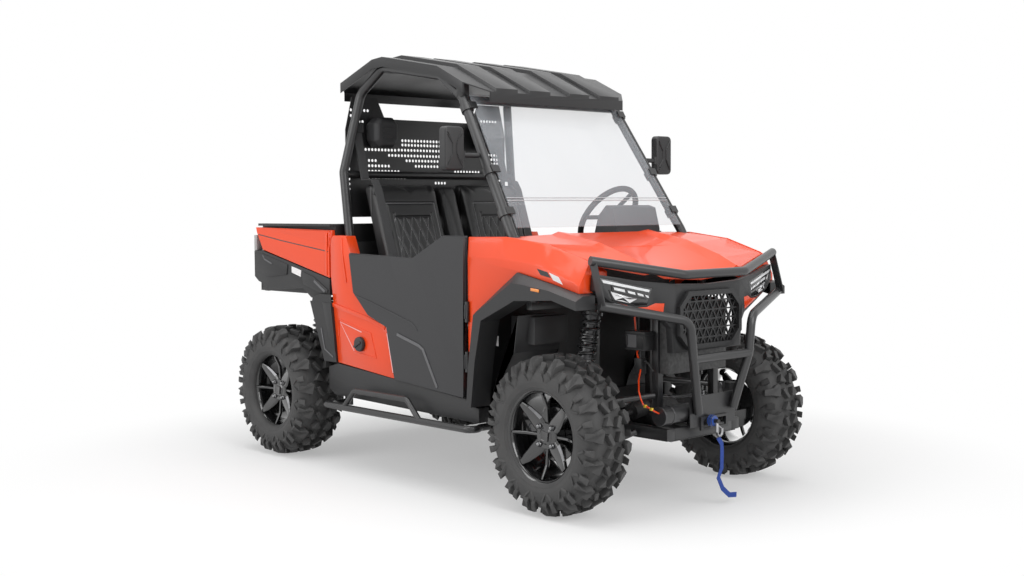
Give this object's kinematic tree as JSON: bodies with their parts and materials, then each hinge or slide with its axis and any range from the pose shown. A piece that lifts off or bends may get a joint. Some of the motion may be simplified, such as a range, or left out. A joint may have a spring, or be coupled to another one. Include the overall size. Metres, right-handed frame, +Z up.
{
  "type": "side by side utility vehicle",
  "caption": "Open two-seat off-road utility vehicle with roll cage, hard roof, windscreen, half doors, tubular front guard with winch, and a tipping cargo bed with a drop tailgate.",
  "frame": {"origin": "on the ground under the middle of the vehicle's length and width", "axes": "+X forward, +Y to the vehicle's left, +Z up"},
  "size_m": [2.6808, 1.48, 1.984],
  "materials": {
    "bare_steel": "brushed",
    "black_plastic": "fine texture",
    "body_red": "gloss orange red",
    "cast": "rough",
    "clear_sheet": "clear",
    "core": "fine fins",
    "door_grey": "satin",
    "drive_metal": "cast",
    "frame_steel": "satin black",
    "grip": "soft black",
    "lamp": "clear lens",
    "rear_lamp": "grey lens",
    "rim": "gloss black",
    "screen_steel": "satin black",
    "shock_steel": "dark grey",
    "tyre": "matt",
    "vinyl": "grained black",
    "webbing": "woven"
  },
  "bodies": {
    "chassis": {"axle_drives": "drive_metal", "bumper": "frame_steel", "cab_floor": "black_plastic", "chassis_frame": "frame_steel", "dashboard": "black_plastic", "door_hinges": "frame_steel", "engine": "cast", "exhaust": "bare_steel", "frame_towers": "frame_steel", "front_fascia": "black_plastic", "front_fenders": "body_red", "fuel_cap": "black_plastic", "grille": "black_plastic", "headlamps": "lamp", "headrests": "vinyl", "mirrors": "black_plastic", "nose_trims": "body_red", "radiator": "core", "rear_knuckles": "cast", "rear_panels": "body_red", "rear_screen": "screen_steel", "roll_cage": "frame_steel", "roof": "black_plastic", "screen_clamps": "screen_steel", "seat_backs": "vinyl", "seat_belts": "webbing", "seat_cushions": "vinyl", "shocks": "shock_steel", "sills": "black_plastic", "step_bars": "frame_steel", "suspension_arms": "frame_steel", "wheel_arches": "black_plastic", "wheel_liners": "black_plastic", "winch": "frame_steel", "winch_strap": "webbing", "windscreen": "clear_sheet", "wiring_box": "black_plastic"},
    "wheel_front_left": {"tyre_front_left": "tyre", "rim_front_left": "rim"},
    "wheel_front_right": {"tyre_front_right": "tyre", "rim_front_right": "rim"},
    "wheel_rear_left": {"tyre_rear_left": "tyre", "rim_rear_left": "rim"},
    "wheel_rear_right": {"tyre_rear_right": "tyre", "rim_rear_right": "rim"},
    "upright_front_left": {"knuckle_front_left": "cast"},
    "upright_front_right": {"knuckle_front_right": "cast"},
    "steering_wheel": {"steering_wheel": "grip"},
    "tie_rods": {"tie_rods": "bare_steel"},
    "door_left": {"door_left": "door_grey"},
    "door_right": {"door_right": "door_grey"},
    "hood": {"hood": "body_red"},
    "bed": {"bed_tub": "black_plastic", "bed_sides": "body_red", "bed_skirts": "black_plastic", "tail_lamps": "rear_lamp"},
    "tailgate": {"tailgate": "black_plastic"}
  },
  "joints": [
    {"name": "steer_left", "type": "hinge", "parent": "chassis", "child": "upright_front_left", "pos_m": [0.9395, 0.474, 0.33], "axis": [0, 0, 1], "range_deg": [-28, 28]},
    {"name": "steer_right", "type": "hinge", "parent": "chassis", "child": "upright_front_right", "pos_m": [0.9395, -0.474, 0.33], "axis": [0, 0, 1], "range_deg": [-28.5, 28.5]},
    {"name": "steering_column", "type": "hinge", "parent": "chassis", "child": "steering_wheel", "pos_m": [0.41495, 0.29, 1.20489], "axis": [-0.8192, 0, 0.5736], "range_deg": [-255, 255]},
    {"name": "rack_slide", "type": "slide", "parent": "chassis", "child": "tie_rods", "axis": [0, 1, 0], "range_m": [-0.048, 0.048]},
    {"name": "wheel_front_left_spin", "type": "hinge", "parent": "upright_front_left", "child": "wheel_front_left", "pos_m": [0.9395, 0.586, 0.33], "axis": [0, 1, 0], "continuous": true},
    {"name": "wheel_front_right_spin", "type": "hinge", "parent": "upright_front_right", "child": "wheel_front_right", "pos_m": [0.9395, -0.586, 0.33], "axis": [0, 1, 0], "continuous": true},
    {"name": "wheel_rear_left_spin", "type": "hinge", "parent": "chassis", "child": "wheel_rear_left", "pos_m": [-1.0105, 0.586, 0.33], "axis": [0, 1, 0], "continuous": true},
    {"name": "wheel_rear_right_spin", "type": "hinge", "parent": "chassis", "child": "wheel_rear_right", "pos_m": [-1.0105, -0.586, 0.33], "axis": [0, 1, 0], "continuous": true},
    {"name": "door_left_hinge", "type": "hinge", "parent": "chassis", "child": "door_left", "pos_m": [0.4574, 0.6493, 0.7], "axis": [0, 0, -1], "range_deg": [0, 68]},
    {"name": "door_right_hinge", "type": "hinge", "parent": "chassis", "child": "door_right", "pos_m": [0.4574, -0.6493, 0.7], "axis": [0, 0, 1], "range_deg": [0, 68]},
    {"name": "hood_hinge", "type": "hinge", "parent": "chassis", "child": "hood", "pos_m": [0.65195, 0, 1.1178], "axis": [0, -1, 0], "range_deg": [0, 40]},
    {"name": "bed_tip", "type": "hinge", "parent": "chassis", "child": "bed", "pos_m": [-1.1445, 0, 0.808], "axis": [0, -1, 0], "range_deg": [0, 40]},
    {"name": "tailgate_drop", "type": "hinge", "parent": "bed", "child": "tailgate", "pos_m": [-1.2295, 0, 0.852], "axis": [0, -1, 0], "range_deg": [0, 90]}
  ],
  "couplings": [
    {"joint": "steer_right", "follows": "steer_left", "ratio": 1},
    {"joint": "steering_column", "follows": "steer_left", "ratio": 9},
    {"joint": "rack_slide", "follows": "steer_left", "m_per_rad": -0.095}
  ]
}
